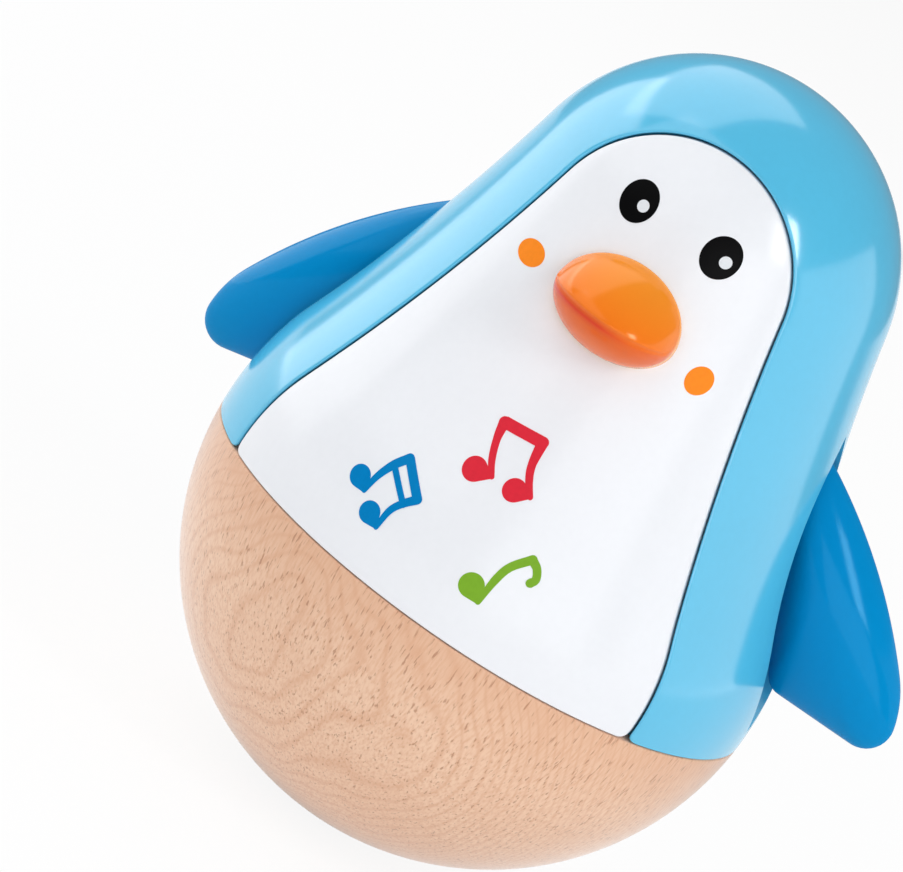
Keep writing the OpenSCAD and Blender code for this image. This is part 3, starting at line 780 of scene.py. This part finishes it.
def make_panel(columns=36):
    """Face panel: rings over its rounded edge, and rows across its front and back."""
    right = panel_side()
    crown = (0.0, outline_point(("head", 1.0, 1), PANEL_INSET)[1])
    foot = [(right[0][0] * (2 * i / columns - 1), FOOT_Z) for i in range(1, columns)]
    loop = foot + right + [crown] + [(-x, z) for x, z in reversed(right)]
    pts = np.array(loop)
    tangent = np.roll(pts, -1, 0) - np.roll(pts, 1, 0)
    inward = np.stack([-tangent[:, 1], tangent[:, 0]], 1)
    inward /= np.linalg.norm(inward, axis=1)[:, None]

    def ring(inset, depth):
        return [front_point(*(p + inset * n), depth) for p, n in zip(pts, inward)]

    net = Net()
    rings = [ring(PANEL_ROUND * (1 - math.sin(a)), PANEL_ROUND * (1 - math.cos(a)))
             for a in ROUND_TURNS]
    rings += [ring(0, PANEL_T), ring(PANEL_ROUND, PANEL_T)]
    net.rows(rings, closed=True)
    n_foot, n_right = len(foot), len(right)
    for edge, depth in ((rings[0], 0.0), (rings[-1], PANEL_T)):
        rows = [[edge[-1]] + edge[:n_foot + 1]]
        for i in range(1, n_right):
            a, b = edge[n_foot + i], edge[-1 - i]
            inside = [front_point(b[0] + (a[0] - b[0]) * c / columns, (a[2] + b[2]) / 2, depth)
                      for c in range(1, columns)]
            rows.append([b] + inside + [a])
        row_ids = net.rows(rows)
        net.fan(row_ids[-1], edge[n_foot + n_right], closed=False)
    panel = net.piece("face_panel_moulding", PANEL_WHITE)
    belongs(panel, "toy", "panel_white", "face_panel")


def print_patch(name, material, rings, lift):
    """Ink over the panel: nested rings in the front view, from the edge to the middle."""
    net = Net()
    top = [[front_point(x, z, -lift) for x, z in ring] for ring in rings]
    under = [front_point(x, z, PRINT_SINK) for x, z in rings[0]]
    ids = net.rows([under] + top, closed=True)
    net.cap(list(reversed(ids[0])))
    net.cap(ids[-1])
    obj = net.piece(name, material, sharp_deg=50, merge=1e-7)
    belongs(obj, "toy", "panel_white")


def oval(centre, half_w, half_h, sides=56, rings=7):
    """Oval in the front view, as rings that shrink towards its centre."""
    x, z = centre
    turns = [2 * math.pi * i / sides for i in range(sides)]
    sizes = [1 - k / rings for k in range(rings)]
    return [[(x + f * half_w * math.cos(a), z + f * half_h * math.sin(a)) for a in turns]
            for f in sizes]


def stroke(points, widths, steps=14, shares=(1, 0.66, 0.33, 0.04)):
    """Ribbon along a smooth path in the front view, as rings from its edge to its middle line."""
    pts = np.array(points, float)
    wid = np.array(widths, float)
    t = np.linspace(0, len(pts) - 1, steps * (len(pts) - 1) + 1)
    if len(pts) > 2:
        path = np.stack([smooth(pts[:, k], t) for k in (0, 1)], 1)
    else:
        path = np.stack([np.interp(t, range(len(pts)), pts[:, k]) for k in (0, 1)], 1)
    half = np.interp(t, range(len(wid)), wid) / 2
    along = np.gradient(path, axis=0)
    along /= np.linalg.norm(along, axis=1)[:, None]
    side = np.stack([-along[:, 1], along[:, 0]], 1)
    rings = []
    for f in shares:
        a = path + side * (half * f)[:, None]
        b = path - side * (half * f)[:, None]
        rings.append([tuple(p) for p in np.concatenate([b, a[::-1]])])
    return rings


def smooth(values, t):
    """Catmull-Rom values through points, at fractional places."""
    v = np.concatenate([[2 * values[0] - values[1]], values, [2 * values[-1] - values[-2]]])
    i = np.clip(np.floor(t).astype(int), 0, len(values) - 2)
    u = t - i
    p0, p1, p2, p3 = v[i], v[i + 1], v[i + 2], v[i + 3]
    return 0.5 * (2 * p1 + (p2 - p0) * u + (2 * p0 - 5 * p1 + 4 * p2 - p3) * u ** 2
                  + (3 * p1 - p0 - 3 * p2 + p3) * u ** 3)


def make_face():
    """Eyes with glints, and cheek dots."""
    eye_half_w, eye_half_h = 0.0028, 0.0031
    glint_r, glint_out, glint_drop = 0.00088, 0.0009, 0.0002
    eye_places = ((-0.0068, 0.10622), (0.0071, 0.10642))
    cheek_sizes = ((0.00225, 0.0018), (0.0018, 0.0021))
    cheek_places = ((-0.0152, 0.09152), (0.0145, 0.09092))
    for side, (x, z) in zip(("left", "right"), eye_places):
        print_patch(f"eye_{side}", INK_BLACK, oval((x, z), eye_half_w, eye_half_h), PRINT_LIFT)
        glint = oval((x + glint_out, z - glint_drop), glint_r, glint_r)
        print_patch(f"eye_glint_{side}", INK_GLINT, glint, GLINT_LIFT)
    for side, place, halves in zip(("left", "right"), cheek_places, cheek_sizes):
        print_patch(f"cheek_{side}", INK_ORANGE, oval(place, *halves), PRINT_LIFT)


def drop(centre, r, corner, steps=48, rings=7):
    """Round drawn out to a corner, as rings that shrink towards its centre."""
    c = np.array(centre)
    out = np.array(corner) - c
    reach = np.linalg.norm(out)
    turn, open_half = math.atan2(out[1], out[0]), math.acos(r / reach)
    first, last = turn + open_half, turn - open_half + 2 * math.pi
    edge = arc_points(np.zeros(2), r, first, last, steps)
    loop = edge + between(edge[-1], out, 4) + [out] + between(out, edge[0], 4)
    return [[tuple(c + p * (1 - k / rings)) for p in loop] for k in range(rings)]


def make_note(name, ink, heads, strokes):
    """Note from heads (x, z, radius, corner x, corner z) and strokes of points (x, z, width),
    in mm. A stroke ends in a round, and a stem starts with one at its head."""
    shapes = []
    for x, z, r, corner_x, corner_z in heads:
        shapes.append(drop((x * MM, z * MM), r * MM, (corner_x * MM, corner_z * MM)))
    for number, points in enumerate(strokes):
        places, widths = [(x * MM, z * MM) for x, z, _ in points], [w * MM for _, _, w in points]
        shapes.append(stroke(places, widths))
        rounds = [points[0], points[-1]] if number < len(heads) else [points[-1]]
        for x, z, w in rounds:
            shapes.append(oval((x * MM, z * MM), w * MM / 2, w * MM / 2, sides=32, rings=4))
    for i, shape in enumerate(shapes):
        print_patch(f"note_{name}_{i}", ink, shape, PRINT_LIFT + i * PRINT_STEP)


def make_notes():
    """Three music notes: a beamed pair, a pair with two beams and one with a hooked flag."""
    make_note("red", INK_RED,
              [(-2.6, 64.8, 1.75, 0.35, 65.3), (3.6, 65.6, 1.65, 6.3, 66.1)],
              [[(0.0, 65.3, 0.72), (-1.45, 67.1, 1.0), (-2.65, 69.6, 1.1), (-3.25, 72.0, 1.6)],
               [(5.95, 66.0, 0.72), (4.4, 67.75, 1.05), (3.4, 69.65, 1.15), (2.75, 72.75, 1.6)],
               [(-3.25, 72.05, 1.65), (2.75, 72.8, 1.65)]])
    make_note("blue", INK_BLUE,
              [(-15.2, 54.5, 1.6, -13.25, 53.1), (-10.9, 51.6, 1.6, -8.7, 50.35)],
              [[(-13.45, 53.4, 0.75), (-13.1, 56.0, 1.0), (-12.2, 58.5, 1.25),
                (-10.85, 60.6, 1.35)],
               [(-8.9, 50.6, 0.75), (-8.7, 53.4, 1.0), (-7.85, 55.2, 1.1), (-6.4, 57.0, 1.3)],
               [(-10.85, 60.65, 1.35), (-6.4, 57.05, 1.35)],
               [(-11.9, 58.5, 0.9), (-7.6, 55.3, 0.9)]])
    make_note("green", INK_GREEN,
              [(6.7, 52.1, 1.8, 8.95, 50.4)],
              [[(8.75, 50.7, 0.75), (8.9, 54.5, 1.15), (9.5, 57.0, 1.2), (11.3, 59.45, 1.3)],
               [(11.3, 59.45, 1.25), (12.5, 58.75, 1.1), (13.25, 57.5, 1.1), (12.95, 56.7, 1.25)]])


# Beak

def make_beak(stations=72, steps=26):
    """Almond bill: a dome with a soft ridge from corner to corner and a mouth groove under it."""
    root, up, out = beak_axes()
    across = np.array([1.0, 0, 0])

    def point(x, y, h):
        return root + across * x + up * y + out * h

    lower = [-math.cos(math.pi / 2 * i / steps) for i in range(steps)]
    upper = [math.sin(math.pi / 2 * i / steps) for i in range(steps + 1)]
    by_ridge = [-0.03, -0.015, 0.015]
    shares = sorted(set(lower + upper + by_ridge))
    net = Net()
    rows = []
    for i in range(stations + 1):
        turn = math.pi * (i / stations - 0.5)
        x, width = BEAK_W / 2 * math.sin(turn), max(math.cos(turn), 0)
        row = []
        for v in shares:
            edge = (BEAK_UPPER_H if v > 0 else BEAK_LOWER_H) * width
            dome = max(1 - abs(v) ** BEAK_RIDGE_POWER, 0) ** BEAK_ROUND_POWER
            rise = BEAK_REACH * width * dome
            groove = math.exp(-((v - MOUTH_PLACE) / MOUTH_WIDTH) ** 2)
            mouth = MOUTH_DEPTH * min(MOUTH_FADE * width, 1) * groove
            row.append(point(x, v * edge - BEAK_DROOP_SHARE * rise, BEAK_WALL_H + rise - mouth))
        ends = [point(x, h * width, -BEAK_SINK) for h in (BEAK_UPPER_H, -BEAK_LOWER_H)]
        rows.append(row + ends)
    net.rows(rows, closed=True)
    beak = net.piece("bill", BEAK_ORANGE, sharp_deg=60)
    belongs(beak, "toy", "beak_orange", "beak")


# Wings

def wing_outline():
    """Outline of a wing on its inner stop, from the pin: round top, shoulder, tip and heel."""
    shoulder = WING_TIP - np.array([WING_SHOULDER_R - WING_TIP_R, 0])
    a, b = WING_EDGE_R - WING_TOP_R, WING_EDGE_R - WING_SHOULDER_R
    d = shoulder - WING_TOP
    span = np.linalg.norm(d)
    along = (a * a - b * b + span * span) / (2 * span)
    off = math.sqrt(a * a - along * along)
    # Centre of the outer edge, which touches the rounds at the top and the shoulder
    e = WING_TOP + d / span * along + np.array([d[1], -d[0]]) / span * off
    at_top = math.atan2(*(WING_TOP - e)[::-1])
    at_shoulder = math.atan2(*(shoulder - e)[::-1])
    below = line_normal(WING_TIP, WING_TIP_R, WING_HEEL, WING_HEEL_R) - 2 * math.pi
    behind = line_normal(WING_HEEL, WING_HEEL_R, WING_TOP, WING_TOP_R)
    heel_end = arc_points(WING_HEEL, WING_HEEL_R, below, behind - 2 * math.pi, 10)
    top_start = arc_points(WING_TOP, WING_TOP_R, behind, at_top, 12)
    back = between(heel_end[-1], top_start[0], 18)
    tip = arc_points(WING_TIP, WING_TIP_R, 0, below, 18)
    under = between(tip[-1], heel_end[0], 8)
    edge = arc_points(e, WING_EDGE_R, at_top, at_shoulder, 30)[1:-1]
    edge += arc_points(shoulder, WING_SHOULDER_R, at_shoulder, 0, 12)[:-1]
    return top_start + edge + tip + under + heel_end + back


def even_loop(points, count):
    """Points at even steps along a closed outline."""
    p = np.array(points + points[:1])
    run = np.concatenate([[0], np.cumsum(np.linalg.norm(np.diff(p, axis=0), axis=1))])
    at = np.linspace(0, run[-1], count + 1)[:-1]
    return np.column_stack([np.interp(at, run, p[:, 0]), np.interp(at, run, p[:, 1])])


def softened(loop, reach):
    """Each point of a closed loop moved to the mean of its neighbours within reach."""
    return sum(np.roll(loop, k, axis=0) for k in range(-reach, reach + 1)) / (2 * reach + 1)


def make_wing(side, out, around=144, reach=12, levels=16, knuckle_sides=48):
    """Fat flipper: rings that shrink and grow rounder towards the crown of each face."""
    outline = even_loop(wing_outline(), around)
    rounder = softened(softened(outline, reach), reach)
    crown = WING_TIP * WING_CROWN_SHARES
    c, s = math.cos(out), math.sin(out)

    def place(x, y, z):
        return np.array([side * (PIN_X + c * x - s * z), y, PIN_Z + s * x + c * z])

    net = Net()
    rows = []
    for k in range(1, 2 * levels):
        a = math.pi / 2 * (k / levels - 1)
        y = math.copysign(WING_T / 2 * abs(math.sin(a)) ** WING_DOME_POWER, a)
        share = math.cos(a)
        loop = crown + (rounder + (outline - rounder) * share ** WING_EDGE_HOLD - crown) * share
        rows.append([place(x, y, z) for x, z in loop])
    ids = net.rows(rows, closed=True)
    net.fan(ids[0], place(crown[0], -WING_T / 2, crown[1]))
    net.fan(ids[-1], place(crown[0], WING_T / 2, crown[1]))
    # Knuckle on the pin and the arm to it
    half_l = slot_half_width(PIN_Z + KNUCKLE_R) - SIDE_GAP
    ring = arc_points(np.zeros(2), KNUCKLE_R, 0, 2 * math.pi, knuckle_sides)[:-1]
    arm_l, arm_t, arm_h = WING_ARM
    arm = [(0, 0), (arm_l, 0), (arm_l, arm_h), (0, arm_h)]
    for shape, half in ((ring, half_l), (arm, arm_t / 2)):
        ends = net.rows([[place(x, y, z) for x, z in shape] for y in (-half, half)], closed=True)
        net.cap(ends[0])
        net.cap(list(reversed(ends[1])))
    name = "right" if side > 0 else "left"
    wing = net.piece(f"flipper_{name}", WING_BLUE, sharp_deg=50)
    belongs(wing, f"{name}_wing", "wing_blue", f"wing_{name}")


# Wooden bowl

def turned(name, profile, material, segments=192, sharp_deg=38, merge=1e-6):
    """Turned piece: Geometry Nodes carry a profile of points (radius, height) round the axis."""
    tree = bpy.data.node_groups.new(f"{name}_lathe", "GeometryNodeTree")
    link, node, sums = tree.links.new, partial(new_node, tree), partial(math_node, tree)
    face = tree.interface
    face.new_socket("Profile", in_out="INPUT", socket_type="NodeSocketGeometry")
    count = face.new_socket("Segments", in_out="INPUT", socket_type="NodeSocketInt")
    face.new_socket("Turned", in_out="OUTPUT", socket_type="NodeSocketGeometry")
    start, end = node("NodeGroupInput"), node("NodeGroupOutput")
    size = node("GeometryNodeAttributeDomainSize", component="MESH")
    link(start.outputs["Profile"], size.inputs["Geometry"])
    rows = size.outputs["Point Count"]
    columns = sums("ADD", start.outputs["Segments"], 1)
    grid = node("GeometryNodeMeshGrid")
    grid.inputs["Size X"].default_value = 1
    grid.inputs["Size Y"].default_value = 1
    link(columns, grid.inputs["Vertices X"])
    link(rows, grid.inputs["Vertices Y"])
    index = node("GeometryNodeInputIndex").outputs["Index"]
    column = sums("FLOOR", sums("DIVIDE", index, rows))
    row = sums("SUBTRACT", index, sums("MULTIPLY", column, rows))
    sample = node("GeometryNodeSampleIndex", data_type="FLOAT_VECTOR", domain="POINT")
    link(start.outputs["Profile"], sample.inputs["Geometry"])
    link(node("GeometryNodeInputPosition").outputs["Position"], sample.inputs["Value"])
    link(row, sample.inputs["Index"])
    apart = node("ShaderNodeSeparateXYZ")
    link(sample.outputs["Value"], apart.inputs["Vector"])
    turn = sums("MULTIPLY", sums("DIVIDE", column, start.outputs["Segments"]), 2 * math.pi)
    join = node("ShaderNodeCombineXYZ")
    link(sums("MULTIPLY", apart.outputs["X"], sums("COSINE", turn)), join.inputs["X"])
    link(sums("MULTIPLY", apart.outputs["X"], sums("SINE", turn)), join.inputs["Y"])
    link(apart.outputs["Z"], join.inputs["Z"])
    move = node("GeometryNodeSetPosition")
    link(grid.outputs["Mesh"], move.inputs["Geometry"])
    link(join.outputs["Vector"], move.inputs["Position"])
    weld = node("GeometryNodeMergeByDistance")
    weld.inputs["Distance"].default_value = merge
    link(move.outputs["Geometry"], weld.inputs["Geometry"])
    real = node("GeometryNodeRealizeInstances")
    link(weld.outputs["Geometry"], real.inputs["Geometry"])
    paint = node("GeometryNodeSetMaterial")
    paint.inputs["Material"].default_value = material
    link(real.outputs["Geometry"], paint.inputs["Geometry"])
    link(paint.outputs["Geometry"], end.inputs["Turned"])

    blank = bpy.data.meshes.new(f"{name}_profile")
    edges = [(i, i + 1) for i in range(len(profile) - 1)]
    blank.from_pydata([(r, 0, z) for r, z in profile], edges, [])
    obj = bpy.data.objects.new(name, blank)
    bpy.context.scene.collection.objects.link(obj)
    lathe = obj.modifiers.new("lathe", "NODES")
    lathe.node_group = tree
    lathe[count.identifier] = segments
    shown = obj.evaluated_get(bpy.context.evaluated_depsgraph_get())
    mesh = bpy.data.meshes.new_from_object(shown)
    obj.modifiers.remove(lathe)
    finish_mesh(mesh, sharp_deg, merge)
    mesh.name = name
    obj.data = mesh
    return obj


def make_bowl(outer_steps=110, rim_steps=5, inner_steps=24):
    """Bowl's profile: the flat and the ball outside, the rim's steps, the hollow and the recess."""
    _, ballast_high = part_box("ballast")
    recess_r = ballast_high.x + BALLAST_GAP
    hollow_r = BASE_R - BOWL_WALL
    rebate_r = body_radius(SEAM_Z) - RIM_W
    socket_r = rebate_r - SOCKET_STEP
    rebate_z = SEAM_Z - REBATE_DEPTH
    hollow_top = SEAM_Z - SOCKET_DEPTH
    round_z = SEAM_Z - EDGE_ROUND
    ball = np.array([0, base_cz])
    rim_round = np.array([body_radius(round_z) - EDGE_ROUND, round_z])
    flat_angle = math.asin(-base_cz / BASE_R)
    rim_angle = math.asin((round_z - base_cz) / BASE_R)
    hollow_angle = math.asin((hollow_top - base_cz) / hollow_r)
    recess_angle = -math.acos(recess_r / hollow_r)
    profile = [(0, 0), (REST_FLAT_R / 2, 0)]
    profile += arc_points(ball, BASE_R, flat_angle, rim_angle, outer_steps)
    profile += arc_points(rim_round, EDGE_ROUND, RIM_ROUND_START, math.pi / 2, rim_steps)
    profile += [(rebate_r, SEAM_Z), (rebate_r, rebate_z),
                (socket_r, rebate_z), (socket_r, hollow_top)]
    profile += arc_points(ball, hollow_r, hollow_angle, recess_angle, inner_steps)
    profile += [(recess_r, BOWL_FLOOR_Z), (0, BOWL_FLOOR_Z)]
    bowl = turned("beech_bowl", profile, BEECH)
    belongs(bowl, "toy", "beech", "wood_base")


# Inner pieces

def dress_inner_pieces():
    """Gives the CAD pieces that stay in the scene their finish."""
    finishes = {
        "steel": STEEL, "ballast_iron": IRON, "chime_alloy": ALLOY, "brass": BRASS,
        "inner_white": INNER_WHITE, "beech": BEECH,
    }
    for part in frame["record"]["subparts"]:
        finish = finishes.get(part["material_slot"])
        node = frame["nodes"][part["node"]]
        if finish and not node.hide_render:
            node.data.materials.clear()
            node.data.materials.append(finish)


# Stage

def soft_lamp(name, place, size, watts):
    """Rectangular lamp that looks at the toy."""
    data = bpy.data.lights.new(name, "AREA")
    data.shape = "RECTANGLE"
    data.size, data.size_y = size
    data.energy = watts
    lamp = bpy.data.objects.new(name, data)
    lamp.location = place
    lamp.rotation_euler = (LAMP_AIM - Vector(place)).to_track_quat("-Z", "Y").to_euler()
    bpy.context.scene.collection.objects.link(lamp)


def make_floor():
    """White floor that looks evenly lit to the camera and in reflections."""
    mesh = bpy.data.meshes.new("floor")
    corners = [(x * FLOOR_HALF, y * FLOOR_HALF, 0) for x, y in ((-1, -1), (1, -1), (1, 1), (-1, 1))]
    mesh.from_pydata(corners, [], [(0, 1, 2, 3)])
    floor = bpy.data.objects.new("floor", mesh)
    bpy.context.scene.collection.objects.link(floor)
    r = Recipe("studio_floor")
    r.colour(r.mix(r.spread(r.noise(6)), (0.90, 0.90, 0.90), (0.92, 0.92, 0.92)))
    r.set(Roughness=0.9, Specular_IOR_Level=0.0)
    glow = r.node("ShaderNodeEmission")
    glow.inputs["Color"].default_value = (1, 1, 1, 1)
    path = r.node("ShaderNodeLightPath")
    mirrored = r.math("MAXIMUM", path.outputs["Is Glossy Ray"], path.outputs["Is Transmission Ray"])
    seen = r.math("MAXIMUM", path.outputs["Is Camera Ray"], mirrored)
    share = r.math("MULTIPLY", seen, FLOOR_GLOW)
    blend_shaders(r.tree, share, r.shader.outputs["BSDF"], glow.outputs["Emission"],
                  r.tree.nodes["Material Output"])
    mesh.materials.append(r.material)


def make_world():
    """Soft light all round, seen as plain white by the camera."""
    world = bpy.data.worlds.new("studio")
    bpy.context.scene.world = world
    world.use_nodes = True
    tree = world.node_tree
    soft = tree.nodes["Background"]
    soft.inputs["Color"].default_value = (0.95, 0.97, 1.0, 1)
    soft.inputs["Strength"].default_value = WORLD_STRENGTH
    white = new_node(tree, "ShaderNodeBackground")
    white.inputs["Color"].default_value = (1, 1, 1, 1)
    seen = new_node(tree, "ShaderNodeLightPath").outputs["Is Camera Ray"]
    blend_shaders(tree, seen, soft.outputs["Background"], white.outputs["Background"],
                  tree.nodes["World Output"])


def make_lamps():
    """Lamps of the photograph's studio."""
    soft_lamp("key", (-0.80, -0.85, 1.05), (1.5, 1.3), 6.0)
    soft_lamp("front", (0.65, -1.05, 0.30), (1.0, 0.9), 5.7)
    soft_lamp("left", (-1.15, 0.25, 0.40), (1.1, 0.9), 6.5)
    soft_lamp("crown", (-0.60, 0.42, 1.0), (1.15, 0.95), 4.6)
    soft_lamp("right", (1.13, 0.22, 0.35), (1.5, 0.9), 4.2)
    soft_lamp("side", (0.75, -0.55, 0.90), (0.22, 0.44), 3.4)


def make_camera():
    """Camera of the photograph: turned, raised and rolled about the toy."""
    a, e = CAMERA_TURN, CAMERA_RISE
    back = Vector((math.sin(a) * math.cos(e), -math.cos(a) * math.cos(e), math.sin(e)))
    level = Vector((math.cos(a), math.sin(a), 0))
    rise = back.cross(level)
    right = math.cos(CAMERA_ROLL) * level + math.sin(CAMERA_ROLL) * rise
    up = -math.sin(CAMERA_ROLL) * level + math.cos(CAMERA_ROLL) * rise
    aim = Vector((0, 0, CAMERA_AIM_Z)) + CAMERA_AIM_SIDE * level
    data = bpy.data.cameras.new("photo_camera")
    data.sensor_fit = "HORIZONTAL"
    data.sensor_width = SENSOR_MM
    data.lens = FOCAL_PX / PHOTO_W * SENSOR_MM
    camera = bpy.data.objects.new("photo_camera", data)
    turn = Matrix((right, up, back)).transposed().to_4x4()
    camera.matrix_world = Matrix.Translation(aim + CAMERA_DISTANCE * back) @ turn
    bpy.context.scene.collection.objects.link(camera)
    bpy.context.scene.camera = camera


make_camera()
make_shell()
make_panel()
make_face()
make_notes()
make_beak()
make_wing(-1, 0.0)
make_wing(1, RIGHT_WING_OUT)
make_bowl()
dress_inner_pieces()
make_floor()
make_world()
make_lamps()
bpy.context.scene.view_settings.view_transform = "Standard"
